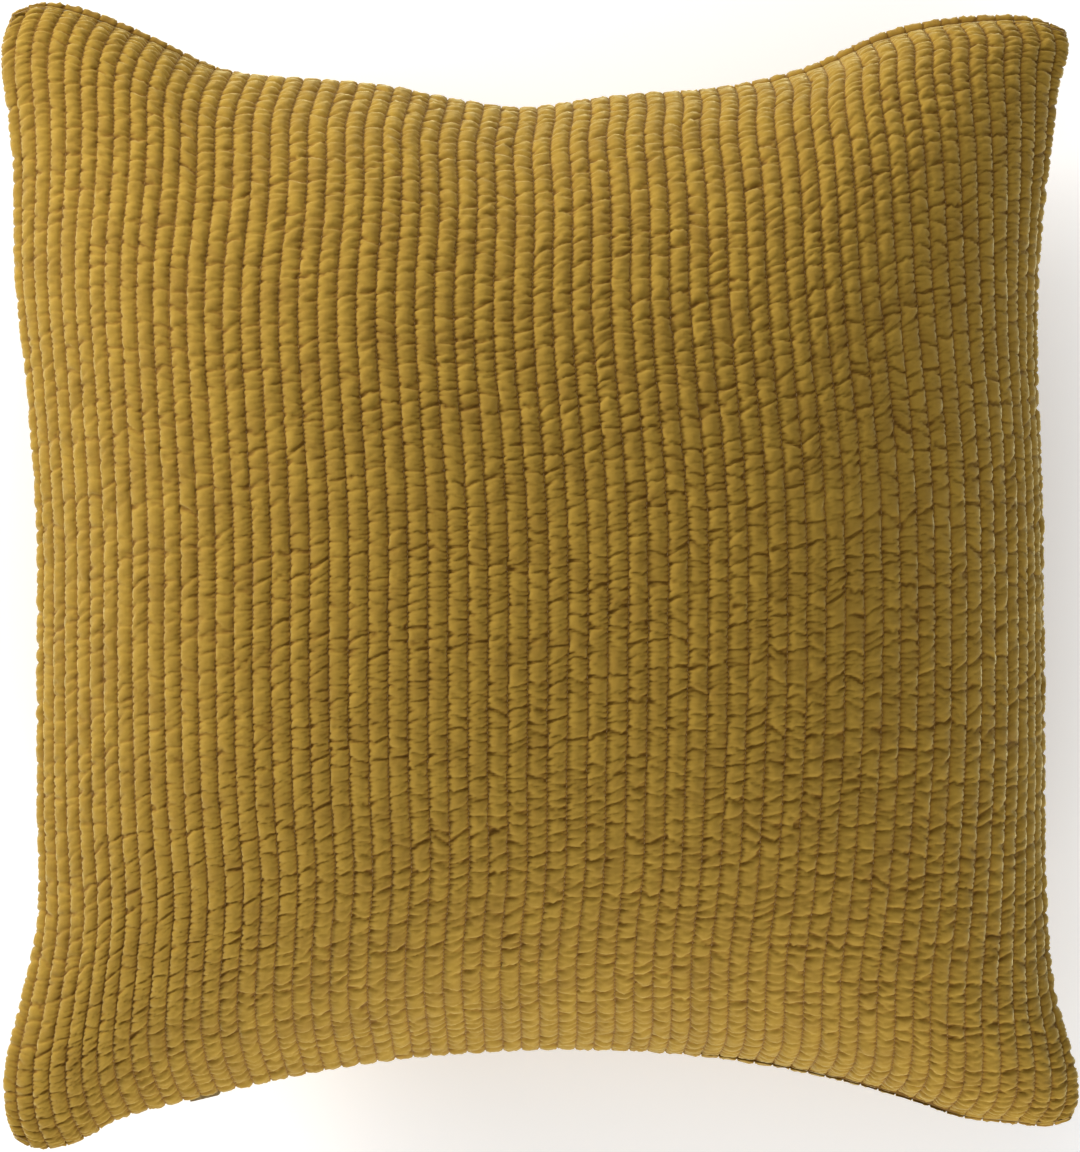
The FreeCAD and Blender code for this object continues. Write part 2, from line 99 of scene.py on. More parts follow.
STITCH_RADIUS = 0.24 * MM
STITCH_REACH = 0.37             # half a stitch's length, as a share of the pitch
# Along a stitch: which way from its middle, height over the cloth in mm, share of its radius.
STITCH_FORM = ((-1, -0.05, 0.55), (0, 0.12, 1), (1, -0.05, 0.55))
STITCH_SIDES = 3

# --- The stuffed shape ---------------------------------------------------------------------
REST_GAP = 1.7 * MM             # stitch lines over the floor where the back lies on it
REST_SOFTNESS = 2 * MM          # how gradually the back leaves the floor
LEFT_CREST, RIGHT_CREST = (2.4, 0.7), (3.1, 0.56)       # powers of the stuffed profile
END_CREST = (2.6, 0.66)
FRONT_LUMPS, BACK_LUMPS = 1.8 * MM, 1.2 * MM
LUMP_WAVES = 9
LUMP_RATE = 3.2                 # most half waves across the pillow
CORNER_DROOP = 4 * MM
CORNER_POWER = 10
CLOTH_OVER_STITCHES = 1 * MM    # the velvet's top, over the stitch lines
BACK_PAST_FLOOR = 8 * MM        # how far the back would bulge into the floor
TAPE_TO_SEAM = 13 * MM          # from the zip tapes' inner edge out to the seam
EDGE_TURN_IN = 0.024            # share of the pillow's size that the seam allowance takes
LINING_INSET = 0.032            # share of the pillow's size from its edge to the lining's
LINING_DEPTH = 3.5 * MM
LINING_ROWS = 9                 # cloth rows to each row of the lining
FLOOR_CLEARANCE = 0.02 * MM
SEAM_THREAD_INSET = 1.2 * MM
SEAM_THREAD_SIZE = 0.9          # share of a quilting stitch's radius
SEAM_THREAD_SIDES = 4
SEAM_OPENING = 0.12 * MM        # half the space between the panels where they are sewn
ZIP_OPENING = 2.7 * MM          # the same where the zip is
ZIP_FADE = 16 * MM              # past the zip's ends, until the opening has closed
LOWER_EDGE = 0.01               # share of the height that counts as the lower edge

rng_of = np.random.default_rng


# --- Outline of the seam, seen from above ----------------------------------------------------
# Millimetres from the middle of the pillow.  The bottom edge follows the zip's arc.
TOP = [(-246.5, 262.5), (-235, 266), (-217, 263), (-184, 250), (-151, 235.5), (-120, 231),
       (-70, 226.5), (-37, 220), (-5, 216.5), (28, 221), (93, 227), (126, 235), (158, 249),
       (185, 256), (215, 259), (234, 258), (245.5, 254.5)]
LEFT = [(-245.5, -262), (-249, -250), (-248.5, -230), (-239, -194), (-232, -160), (-232, -106),
        (-232, -35), (-232, 18), (-234, 54), (-237, 89), (-242.5, 142), (-243.5, 190),
        (-246, 213), (-250, 235), (-250, 250), (-246.5, 262.5)]
RIGHT = [(248, -253.5), (250.5, -243), (248.5, -230), (237.5, -194), (233, -150), (232, -60),
         (231, 36), (228.5, 107), (230, 150), (235, 195), (241, 231), (246, 245), (245.5, 254.5)]
BOTTOM_LEFT = [(-245.5, -262), (-235, -266), (-217, -262)]
BOTTOM_RIGHT = [(222, -254.5), (238, -256), (248, -253.5)]
ARC_REACH = 196                 # how far either side of the middle the arc runs


def zip_arc():
    """Centre and radius of the bottom edge's arc, from the zip's joint and tape."""
    joint = next(j for j in frame["record"]["behaviour"]["joints"] if j["name"] == "zip_slide")
    centre = joint["pos_m"][1]
    tape_inner_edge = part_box("zip_tape_front")[1].y
    return centre, tape_inner_edge - centre - TAPE_TO_SEAM


ARC_Y, ARC_RADIUS = zip_arc()
SEAM_Z = (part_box("zip_slider")[0].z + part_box("zip_slider")[1].z) / 2
FRONT_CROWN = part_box("front_velvet")[1].z - SEAM_Z - CLOTH_OVER_STITCHES
BACK_CROWN = SEAM_Z + BACK_PAST_FLOOR


def run_along(points):
    """Length run from the first of a line of points to each of them."""
    steps = np.linalg.norm(np.diff(points, axis=0), axis=1)
    return np.concatenate([[0], np.cumsum(steps)])


def curve_through(points, samples=400):
    """Smooth curve through points, sampled at equal distances: an array of x and y in metres."""
    p = np.array(points, float) * MM
    p = np.vstack([2 * p[0] - p[1], p, 2 * p[-1] - p[-2]])
    steps = np.sqrt(np.linalg.norm(np.diff(p, axis=0), axis=1))
    knots = np.concatenate([[0], np.cumsum(steps)])
    found = []
    for i in range(1, len(p) - 2):
        t = np.linspace(knots[i], knots[i + 1], 60, endpoint=False)[:, None]
        k = knots[i - 1:i + 3]
        a = [(k[j + 1] - t) / (k[j + 1] - k[j]) * p[i - 1 + j]
             + (t - k[j]) / (k[j + 1] - k[j]) * p[i + j] for j in range(3)]
        b = [(k[j + 2] - t) / (k[j + 2] - k[j]) * a[j]
             + (t - k[j]) / (k[j + 2] - k[j]) * a[j + 1] for j in range(2)]
        found.append((k[2] - t) / (k[2] - k[1]) * b[0] + (t - k[1]) / (k[2] - k[1]) * b[1])
    line = np.vstack(found + [p[-2][None]])
    along = run_along(line)
    even = np.linspace(0, along[-1], samples)
    return np.stack([np.interp(even, along, line[:, k]) for k in range(2)], axis=1)


def bottom_points():
    xs = np.linspace(-ARC_REACH, ARC_REACH, 23)
    ys = ARC_Y / MM + np.sqrt((ARC_RADIUS / MM) ** 2 - xs ** 2)
    return BOTTOM_LEFT + list(zip(xs, ys)) + BOTTOM_RIGHT


def reading(curve):
    """Function that gives the curve's points at shares of its length."""
    share = np.linspace(0, 1, len(curve))
    return lambda t: np.stack([np.interp(t, share, curve[:, k]) for k in range(2)], axis=-1)


top_edge, bottom_edge = reading(curve_through(TOP)), reading(curve_through(bottom_points()))
left_edge, right_edge = reading(curve_through(LEFT)), reading(curve_through(RIGHT))


def plan(u, v):
    """Point of the pillow seen from above, for shares u across and v up it."""
    u, v = np.broadcast_arrays(u, v)
    low, high = bottom_edge(u), top_edge(u)
    left, right = left_edge(v), right_edge(v)
    corners = [edge(np.array([end]))[0] for edge in (bottom_edge, top_edge) for end in (0.0, 1.0)]
    u, v = u[..., None], v[..., None]
    ruled = (1 - v) * low + v * high + (1 - u) * left + u * right
    bilinear = (1 - v) * ((1 - u) * corners[0] + u * corners[1])
    return ruled - bilinear - v * ((1 - u) * corners[2] + u * corners[3])


# --- Stuffed shape over the outline ----------------------------------------------------------

def crest(t, power, sharpness):
    """Profile from one edge, through 1 in the middle, to the other, for t from -1 to 1."""
    return np.maximum(1 - np.abs(t) ** power, 0) ** sharpness


def lumps(u, v, seed):
    """Slow unevenness of the filling, about -1 to 1."""
    rng = rng_of(seed)
    total = 0
    for _ in range(LUMP_WAVES):
        a = rng.uniform(-LUMP_RATE, LUMP_RATE)
        b = rng.uniform(-LUMP_RATE, LUMP_RATE)
        phase = rng.uniform(0, 2 * math.pi)
        total = total + np.sin(math.pi * (a * u + b * v) + phase)
    return total / (LUMP_WAVES / 2)


def seam_height(u, v):
    """The seam droops a little at the four corners."""
    corner = np.abs(2 * u - 1) ** CORNER_POWER * np.abs(2 * v - 1) ** CORNER_POWER
    return SEAM_Z - CORNER_DROOP * corner


def stuffed(u, v, side):
    """Height of the stitch lines, for shares u across and v up the pillow."""
    s, t = 2 * u - 1, 2 * v - 1
    across = np.where(s < 0, crest(s, *LEFT_CREST), crest(s, *RIGHT_CREST))
    form = across * crest(t, *END_CREST)
    if side == UP:
        return seam_height(u, v) + form * (FRONT_CROWN + FRONT_LUMPS * lumps(u, v, FRONT_SEED))
    depth = seam_height(u, v) - form * (BACK_CROWN + BACK_LUMPS * lumps(u, v, BACK_SEED))
    return REST_GAP + REST_SOFTNESS * np.logaddexp(0, (depth - REST_GAP) / REST_SOFTNESS)


def ramp(x, *points):
    """Piecewise straight function of x through (x, value) points."""
    places, values = zip(*points)
    return np.interp(x, places, values)


# How far each panel rolls out past the seam, in mm, along each edge from its left or lower end.
# Below zero it draws back, so that the seam and the panel behind it show.
FRONT_ROLL = {
    "top": [(0, 0), (0.05, -1.5), (0.15, -1), (0.3, 1.5), (0.45, 1), (0.6, 1.5), (0.75, -1),
            (0.95, -1.5), (1, 0)],
    "bottom": [(0, 0), (0.08, 0.5), (0.15, 2.5), (0.25, 4.5), (0.45, 4), (0.6, 2), (0.7, -1),
               (0.95, -2), (1, 0)],
    "left": [(0, 0), (0.1, 1.5), (0.9, 1.5), (1, 0)],
    "right": [(0, 0), (0.1, 1.5), (0.9, 1.5), (1, 0)]}
BACK_ROLL = {
    "top": [(0, 0), (0.05, 3), (0.12, 3.2), (0.2, 2), (0.3, 1), (0.5, 2), (0.7, 2.5), (0.85, 4),
            (0.95, 3), (1, 0)],
    "bottom": [(0, 0), (0.05, 2.5), (0.15, 0), (0.25, 0), (0.42, 5), (0.55, 4), (0.65, 2.4),
               (0.8, 1), (0.95, 1), (1, 0)],
    "left": [(0, 0), (0.1, 1), (0.9, 1), (0.97, 2), (1, 0)],
    "right": [(0, 0), (0.1, 1), (0.9, 1), (1, 0)]}
ROLL_REACH = 5 * MM


def outward(edge, share, sign):
    """Unit vector out of the pillow, seen from above, at a share of an edge."""
    step = 0.004
    run = edge(np.clip(share + step, 0, 1)) - edge(np.clip(share - step, 0, 1))
    run /= np.linalg.norm(run, axis=-1, keepdims=True)
    return sign * np.stack([-run[..., 1], run[..., 0]], axis=-1)


def flat_across():
    """Where the mesh lines lie across the flat cloth."""
    cells = np.arange(CHANNELS)[:, None] + np.array(CELL_EDGES)
    return np.append(cells.ravel(), CHANNELS) * CHANNEL_WIDTH


def flat_along():
    return np.linspace(0, COVER_LENGTH, ROWS + 1)


def base_surface(side):
    """Stitch-line surface at the mesh's own grid: points, and the shares u and v of each."""
    rolls = FRONT_ROLL if side == UP else BACK_ROLL
    fine = np.linspace(0, 1, 1201)
    middle = np.column_stack([plan(0.5, fine), stuffed(np.full_like(fine, 0.5), fine, side)])
    run = run_along(middle)
    vs = np.interp(np.linspace(0, run[-1], ROWS + 1), run, fine)
    across = flat_across()
    u = np.empty((ROWS + 1, len(across)))
    for j, v in enumerate(vs):
        row = np.column_stack([plan(fine, v), stuffed(fine, np.full_like(fine, v), side)])
        run = run_along(row)
        u[j] = np.interp(across / across[-1] * run[-1], run, fine)
    v = np.repeat(vs[:, None], len(across), axis=1)
    flat = plan(u, v)
    up_from = flat_along()[:, None]
    in_from = across[None, :]
    wide, tall = across[-1], COVER_LENGTH
    for name, edge, share, sign, gap in (
            ("bottom", bottom_edge, u, -1, up_from + 0 * u),
            ("top", top_edge, u, 1, tall - up_from + 0 * u),
            ("left", left_edge, v, 1, in_from + 0 * u),
            ("right", right_edge, v, -1, wide - in_from + 0 * u)):
        out = outward(edge, share, sign)
        near = gap / ROLL_REACH * np.exp(1 - gap / ROLL_REACH)
        amount = ramp(share, *rolls[name]) * MM * near
        flat = flat + out * amount[..., None]
    return np.dstack([flat, stuffed(u, v, side)]), u, v


# --- Cloth ---------------------------------------------------------------------------------

def pull_together(x, free, a, b, rest, stiffness):
    """Moves the two ends of many threads at once towards their rest length."""
    d = x[b] - x[a]
    length = np.sqrt((d * d).sum(-1)) + 1e-9
    wa, wb = free[a], free[b]
    share = stiffness * (length - rest) / (length * np.maximum(wa + wb, 1e-6))
    x[a] += (share * wa)[..., None] * d
    x[b] -= (share * wb)[..., None] * d


def cloth_links(shape, across, dy):
    """Threads and slants of the cloth: pairs of grid slices, rest lengths and stiffness."""
    every, links = slice(None), []
    widths = np.diff(across)[None, :]
    for first in (0, 1):
        a, b = slice(first, -1, 2), slice(first + 1, None, 2)
        links.append(((every, a), (every, b), widths[:, first::2], THREAD_STIFFNESS))
        links.append(((a, every), (b, every), dy, THREAD_STIFFNESS))
        slants = np.hypot(widths, dy)
        left, right = slice(0, -1), slice(1, None)
        links.append(((a, left), (b, right), slants, SLANT_STIFFNESS))
        links.append(((a, right), (b, left), slants, SLANT_STIFFNESS))
    for first in range(4):
        a, b = slice(first, -2, 4), slice(first + 2, None, 4)
        links.append(((a, every), (b, every), 2 * dy, BEND_STIFFNESS))
    return [(*same_size(shape, a, b), rest, k) for a, b, rest, k in links]


def same_size(shape, a, b):
    """Trims two grid slices to the same number of points."""
    counts = [[len(range(*key.indices(size))) for key, size in zip(pair, shape)]
              for pair in (a, b)]
    least = [min(pair) for pair in zip(*counts)]

    def trim(keys):
        return tuple(slice(k.start or 0, (k.start or 0) + (n - 1) * (k.step or 1) + 1, k.step)
                     for k, n in zip(keys, least))
    return trim(a), trim(b)


def next_channel(places, depths, rng):
    """Puckers of the next channel to the right: most carry on, rising a little."""
    places = np.sort(places + rng.normal(*PUCKER_DRIFT, len(places)))
    fresh = rng.uniform(*PUCKER_STRENGTHS, len(depths))
    depths = PUCKER_CARRY * depths + (1 - PUCKER_CARRY) * fresh
    kept_places, kept_depths = [], []
    last = rng.uniform(0, 3) * MM
    for place, depth in zip(places, depths):
        apart = pucker_spacing(place)
        if place > COVER_LENGTH - 2 * MM or place - last < PUCKERS_CLOSEST * apart:
            continue
        while place - last > PUCKERS_WIDEST * apart:
            last += apart * rng.uniform(*PUCKERS_ADDED)
            kept_places.append(last)
            kept_depths.append(rng.uniform(*PUCKER_STRENGTHS))
        kept_places.append(place)
        kept_depths.append(depth)
        last = place
    return np.array(kept_places), np.array(kept_depths)


def pucker_spacing(place):
    """The sewing gathers the cloth more closely near the top and bottom seams."""
    gap = np.minimum(place, COVER_LENGTH - place)
    share = np.clip(gap / SEAM_GATHER, 0, 1)
    return PUCKERS_APART_AT_SEAM + (PUCKERS_APART - PUCKERS_APART_AT_SEAM) * share


def puckers(rng):
    """How deep the creases across the channels are at each point of the mesh, from 0 to 1."""
    y = flat_along()[:, None]
    found = np.zeros((ROWS + 1, CHANNELS * CELLS + 1))
    places = np.arange(3 * MM, COVER_LENGTH, PUCKERS_APART)
    depths = rng.uniform(*PUCKER_STRENGTHS, len(places))
    for channel in range(CHANNELS):
        places, depths = next_channel(places, depths, rng)
        tilt = rng.normal(*PUCKER_TILT, len(places))
        bow = rng.normal(0, PUCKER_BOW, len(places)) * MM
        width = PUCKER_WIDTH * rng.uniform(0.75, 1.5, len(places))
        for cell, share in enumerate(CELL_EDGES):
            off = (share - 0.5) * CHANNEL_WIDTH
            line = places + tilt * off + bow * (2 * share - 1) ** 2
            dips = depths * np.exp(-np.abs(y - line) / width)
            found[:, channel * CELLS + cell] = dips.sum(axis=1)
    return found


def tucks(rng):
    """Short creases that start at the stitch lines and fade towards the middle of a channel."""
    y = flat_along()[:, None]
    found = np.zeros((ROWS + 1, CHANNELS * CELLS + 1))
    for channel in range(CHANNELS):
        for side in (0, 1):
            count = int(COVER_LENGTH / TUCKS_APART)
            places = np.cumsum(TUCKS_APART * rng.uniform(0.6, 1.5, count))
            depths = rng.uniform(*TUCK_STRENGTHS, len(places))
            slope = rng.normal(0, 0.5, len(places))
            reach = rng.uniform(*TUCK_REACHES, len(places)) * MM
            for cell, share in enumerate(CELL_EDGES):
                off = abs(share - side) * CHANNEL_WIDTH
                fade = depths * np.exp(-(off / reach) ** 2)
                dips = fade * np.exp(-np.abs(y - places - slope * off) / (0.9 * PUCKER_WIDTH))
                found[:, channel * CELLS + cell] += dips.sum(axis=1)
    return found


def wave(rng, count, spread):
    """Slow random run of numbers for each channel line, from end to end of the cloth."""
    knots = rng.normal(0, spread, (count, CHANNELS + 1))
    at = np.linspace(0, count - 1, ROWS + 1)
    run = np.array([np.interp(at, np.arange(count), knot) for knot in knots.T]).T
    return run * np.clip(np.sin(np.linspace(0, math.pi, ROWS + 1)), 0, 1)[:, None] ** 0.3


def quilted_cloth(seed, end_flattening):
    """Velvet sewn down along the channel lines, flat: offsets across, along and up."""
    rng = rng_of(seed)
    across, along = flat_across(), flat_along()
    shape = (len(along), len(across))
    x = np.zeros((*shape, 3), np.float32)
    x[..., 0], x[..., 1] = across[None, :], along[:, None]
    sewn = np.zeros(shape, bool)
    sewn[:, ::CELLS] = True
    sewn[0] = sewn[-1] = True
    x[:, ::CELLS, 1] += wave(rng, *LINE_STRETCH)
    wander = wave(rng, *LINE_WANDER)
    wander[:, [0, -1]] = 0
    x[:, ::CELLS, 0] += wander

    place = np.append(np.tile(CELL_EDGES, CHANNELS), 0) * 2 - 1
    profile = (1 - np.abs(place) ** PUFF_PROFILE[0]) ** PUFF_PROFILE[1]
    pinch = np.clip(puckers(rng) + tucks(rng), 0, PUCKER_STRENGTHS[1])
    fullness = 1 + PUFF_UNEVENNESS * smooth_noise(shape, rng)
    gap = np.minimum(along, COVER_LENGTH - along)[:, None]
    fullness *= 1 - end_flattening * np.exp(-(gap / END_REACH) ** 2)
    start = PUFF * profile[None, :] * fullness * (1 - PUCKER_DEPTH * pinch)
    x[..., 2] = np.where(sewn, 0, np.clip(start, LEAST_PUFF, None))

    free = np.where(sewn, 0, 1).astype(np.float32)
    dy = along[1] * (1 + EASE_ALONG)
    links = cloth_links(shape, across * (1 + EASE_ACROSS), dy)
    steps = SETTLING_STEPS
    for _ in range(steps):
        x[..., 2] += free * RISE_PER_STEP * (1 - CREASE_PULL * pinch)
        for link in links:
            pull_together(x, free, *link)
        np.clip(x[..., 2], 0, MOST_PUFF, out=x[..., 2])
    offsets = x.astype(float)
    offsets[..., 0] -= across[None, :]
    offsets[..., 1] -= along[:, None]
    return offsets


def smooth_noise(shape, rng):
    """Random numbers for a grid, each averaged with its neighbours."""
    noise = rng.normal(0, 1, shape)
    for axis in (0, 1, 0, 1):
        noise = (noise + np.roll(noise, 1, axis) + np.roll(noise, -1, axis)) / 3
    return noise


def laid_over(base, offsets, side):
    """The cloth's offsets carried onto the stuffed shape, with the surface's own directions."""
    across = np.gradient(base, flat_across(), axis=1)
    along = np.gradient(base, flat_along(), axis=0)
    across_size = np.linalg.norm(across, axis=-1, keepdims=True)
    normal = np.cross(across, along)
    normal /= np.linalg.norm(normal, axis=-1, keepdims=True)
    if side == DOWN:
        normal = -normal
    points = base + across * offsets[..., :1] + along * offsets[..., 1:2]
    points += normal * offsets[..., 2:]
    points[..., 2] = np.maximum(points[..., 2], FLOOR_CLEARANCE)
    return points, (across / across_size, normal)


# --- Meshes ----------------------------------------------------------------------------------

def new_object(name, points, faces, material, smooth=True):
    mesh = bpy.data.meshes.new(name)
    mesh.from_pydata([tuple(p) for p in points], [], faces)
    if smooth:
        mesh.shade_smooth()
    obj = bpy.data.objects.new(name, mesh)
    bpy.context.scene.collection.objects.link(obj)
    mesh.materials.append(material)
    return obj


def seam_opening(x, v):
    """Half the space between the panels at the seam."""
    zip_low, zip_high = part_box("zip_tape_front")[0].x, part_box("zip_tape_front")[1].x
    outside = np.maximum(zip_low - x, x - zip_high)
    shut = np.clip(outside / ZIP_FADE, 0, 1)
    zone = (v < LOWER_EDGE) & (outside < ZIP_FADE)
    return np.where(zone, SEAM_OPENING + (ZIP_OPENING - SEAM_OPENING) * (1 - shut), SEAM_OPENING)


def loop_of(rows, columns):
    """Grid positions round the border of a grid, anticlockwise from its lower left corner."""
    found = [(0, i) for i in range(columns)]
    found += [(j, columns) for j in range(rows)]
    found += [(rows, i) for i in range(columns, 0, -1)]
    return found + [(j, 0) for j in range(rows, 0, -1)]


def quads(a, b, c, d):
    """Faces from four equal grids of point numbers."""
    return np.stack([a, b, c, d], -1).reshape(-1, 4).tolist()


def inset(u, v, share):
    """Shares of the pillow, drawn in from every edge."""
    keep = 1 - 2 * share
    return 0.5 + (u - 0.5) * keep, 0.5 + (v - 0.5) * keep


def opened_edge(points, v, side):
    """The panel with its border moved off the seam by half the space between the panels."""
    opening = seam_opening(points[..., 0], v)
    border = np.ones(points.shape[:2], bool)
    border[1:-1, 1:-1] = False
    points = points.copy()
    points[..., 2] = np.where(border, points[..., 2] + side * opening, points[..., 2])
    return points


def turned_in(points, u, v, edge):
    """The raw edge of the seam allowance, as high as the panel's edge and inside it."""
    at = tuple(np.array(edge).T)
    inner_u, inner_v = inset(u[at], v[at], EDGE_TURN_IN)
    return np.column_stack([plan(inner_u, inner_v), points[at][:, 2]])


def lining_grid(u, v, side):
    """The back of the quilting, with a point for each channel line."""
    u, v = inset(u[::LINING_ROWS, ::CELLS], v[::LINING_ROWS, ::CELLS], LINING_INSET)
    return np.dstack([plan(u, v), stuffed(u, v, side) - side * LINING_DEPTH])


def joining_faces(ring, coarse, edge):
    """Faces between the turned-in edge and the coarser border of the lining."""
    at = {place: k for k, place in enumerate(edge)}
    border = loop_of(coarse.shape[0] - 1, coarse.shape[1] - 1)
    faces = []
    for (j, i), (next_j, next_i) in zip(border, border[1:] + border[:1]):
        start = at[j * LINING_ROWS, i * CELLS]
        stop = at[next_j * LINING_ROWS, next_i * CELLS]
        stop = stop if stop > start else stop + len(edge)
        strip = [ring[m % len(edge)] for m in range(start, stop + 1)]
        faces.append(strip + [int(coarse[next_j, next_i]), int(coarse[j, i])])
    return faces


def closed_panel(name, side, points, u, v, relief, material):
    """Velvet face, seam allowance turned in behind it, and the coarse back of the quilting."""
    points = opened_edge(points, v, side)
    rows, columns = points.shape[0] - 1, points.shape[1] - 1
    edge = loop_of(rows, columns)
    lining = lining_grid(u, v, side)
    grid = np.arange((rows + 1) * (columns + 1)).reshape(rows + 1, columns + 1)
    ring = list(range(grid.size, grid.size + len(edge)))
    coarse = np.arange(lining[..., 0].size).reshape(lining.shape[:2]) + grid.size + len(edge)

    faces = quads(grid[:-1, :-1], grid[:-1, 1:], grid[1:, 1:], grid[1:, :-1])
    rim = [int(grid[place]) for place in edge]
    for k in range(len(edge)):
        n = (k + 1) % len(edge)
        faces.append([rim[n], rim[k], ring[k], ring[n]])
    faces += quads(coarse[:-1, :-1], coarse[1:, :-1], coarse[1:, 1:], coarse[:-1, 1:])
    faces += joining_faces(ring, coarse, edge)
    if side == DOWN:
        faces = [face[::-1] for face in faces]

    vertices = np.vstack([points.reshape(-1, 3), turned_in(points, u, v, edge),
                          lining.reshape(-1, 3)])
    panel = new_object(name, vertices, faces, material)
    # The relief height, 0 in the grooves and creases, also drives the velvet's painted groove
    # shade.
    shade = panel.data.attributes.new("relief", "FLOAT", "POINT")
    values = np.zeros(len(vertices), np.float32)
    values[:relief.size] = relief.ravel()
    shade.data.foreach_set("value", values)
    cloth_uv(panel.data, rows, columns, len(vertices))
    return panel


def cloth_uv(mesh, rows, columns, total):
    """Where each point was on the flat cloth, in metres, for the pile and its shades."""
    flat = np.zeros((total, 2), np.float32)
    count = (rows + 1) * (columns + 1)
    flat[:count, 0] = np.tile(flat_across(), rows + 1)
    flat[:count, 1] = np.repeat(flat_along(), columns + 1)
    layer = mesh.attributes.new("cloth", "FLOAT_VECTOR", "POINT")
    layer.data.foreach_set("vector", np.column_stack([flat, np.zeros(total)]).ravel())


def read_column(grid, column, row):
    """Values of a grid down one of its columns, at places between its rows."""
    rows_at = np.arange(ROWS + 1)
    return np.stack([np.interp(row, rows_at, grid[:, column, k]) for k in range(3)], -1)


def stitches(name, points, tangents, material):
    """Every stitch of every channel line, as a short arched length of thread."""
    across, normal = tangents
    per_line = int(COVER_LENGTH / STITCH_PITCH) - 3
    cell_y = COVER_LENGTH / ROWS
    centres = (np.arange(per_line) + 2) * STITCH_PITCH / cell_y
    reach = STITCH_REACH * STITCH_PITCH / cell_y
    turns = 2 * math.pi * np.arange(STITCH_SIDES) / STITCH_SIDES + math.pi / 2
    lines = np.arange(1, CHANNELS) * CELLS
    rings = []
    for column in lines:
        for way, height, share in STITCH_FORM:
            row = centres + way * reach
            side, up = read_column(across, column, row), read_column(normal, column, row)
            middle = read_column(points, column, row) + up * height * MM
            size = STITCH_RADIUS * share
            ring = [middle + size * (math.cos(a) * side + math.sin(a) * up) for a in turns]
            rings.append(np.stack(ring, axis=1))
    places = len(STITCH_FORM)
    vertices = np.array(rings).reshape(len(lines), places, per_line, STITCH_SIDES, 3)
    vertices = vertices.transpose(0, 2, 1, 3, 4).reshape(-1, 3)
    faces = []
    for stitch in range(len(lines) * per_line):
        first = stitch * places * STITCH_SIDES
        faces += stitch_faces(first, places)
    return new_object(name, vertices, faces, material)


def stitch_faces(first, places):
    """Faces of one stitch: its two ends, then the sides between its rings."""
    last = first + (places - 1) * STITCH_SIDES
    faces = [[first, first + 2, first + 1], [last, last + 1, last + 2]]
    for ring in range(first, last, STITCH_SIDES):
        for k in range(STITCH_SIDES):
            n = (k + 1) % STITCH_SIDES
            faces.append([ring + k, ring + n, ring + STITCH_SIDES + n, ring + STITCH_SIDES + k])
    return faces


def seam_thread(name, points, material):
    """The thread that joins the two panels, just inside their edge."""
    rows, columns = points.shape[0] - 1, points.shape[1] - 1
    edge = np.array([points[j, i] for j, i in loop_of(rows, columns)])
    run = np.roll(edge, -1, 0) - np.roll(edge, 1, 0)
    run[:, 2] = 0
    run /= np.linalg.norm(run, axis=1, keepdims=True)
    inward = np.column_stack([-run[:, 1], run[:, 0], 0 * run[:, 0]])
    middle = edge + inward * SEAM_THREAD_INSET
    middle[:, 2] = SEAM_Z
    sides = SEAM_THREAD_SIDES
    turns = 2 * math.pi * np.arange(sides) / sides
    radius, up = STITCH_RADIUS * SEAM_THREAD_SIZE, np.array([0, 0, 1])
    ring = [middle + radius * (math.cos(a) * inward + math.sin(a) * up) for a in turns]
    vertices = np.stack(ring, axis=1).reshape(-1, 3)
    faces = []
    for k in range(len(middle)):
        this, following = sides * k, sides * ((k + 1) % len(middle))
        for t in range(sides):
            n = (t + 1) % sides
            faces.append([this + t, this + n, following + n, following + t])
    return new_object(name, vertices, faces, material)


# --- Materials -------------------------------------------------------------------------------

def material(name, colour, roughness, **settings):
    """New material with plain settings; also its nodes, links and shader."""
    made = bpy.data.materials.new(name)
    made.use_nodes = True
    shader = made.node_tree.nodes["Principled BSDF"]
    shader.inputs["Base Color"].default_value = (*colour, 1)
    shader.inputs["Roughness"].default_value = roughness
    for key, value in settings.items():
        shader.inputs[key.replace("_", " ")].default_value = value
    return made, made.node_tree.nodes, made.node_tree.links, shader


def noise_node(nodes, links, source, scale, detail=4, roughness=0.55):
    node = nodes.new("ShaderNodeTexNoise")
    node.inputs["Scale"].default_value = scale
    node.inputs["Detail"].default_value = detail
    node.inputs["Roughness"].default_value = roughness
    links.new(source, node.inputs["Vector"])
    return node


def ramp_node(nodes, links, source, *stops):
    node = nodes.new("ShaderNodeValToRGB")
    elements = node.color_ramp.elements
    while len(elements) > len(stops):
        elements.remove(elements[-1])
    while len(elements) < len(stops):
        elements.new(0.5)
    for element, (place, colour) in zip(elements, stops):
        element.position = place
        element.color = (*colour, 1)
    links.new(source, node.inputs["Fac"])
    return node


def bump_node(nodes, links, source, strength, distance):
    node = nodes.new("ShaderNodeBump")
    node.inputs["Strength"].default_value = strength
    node.inputs["Distance"].default_value = distance
    links.new(source, node.inputs["Height"])
    return node


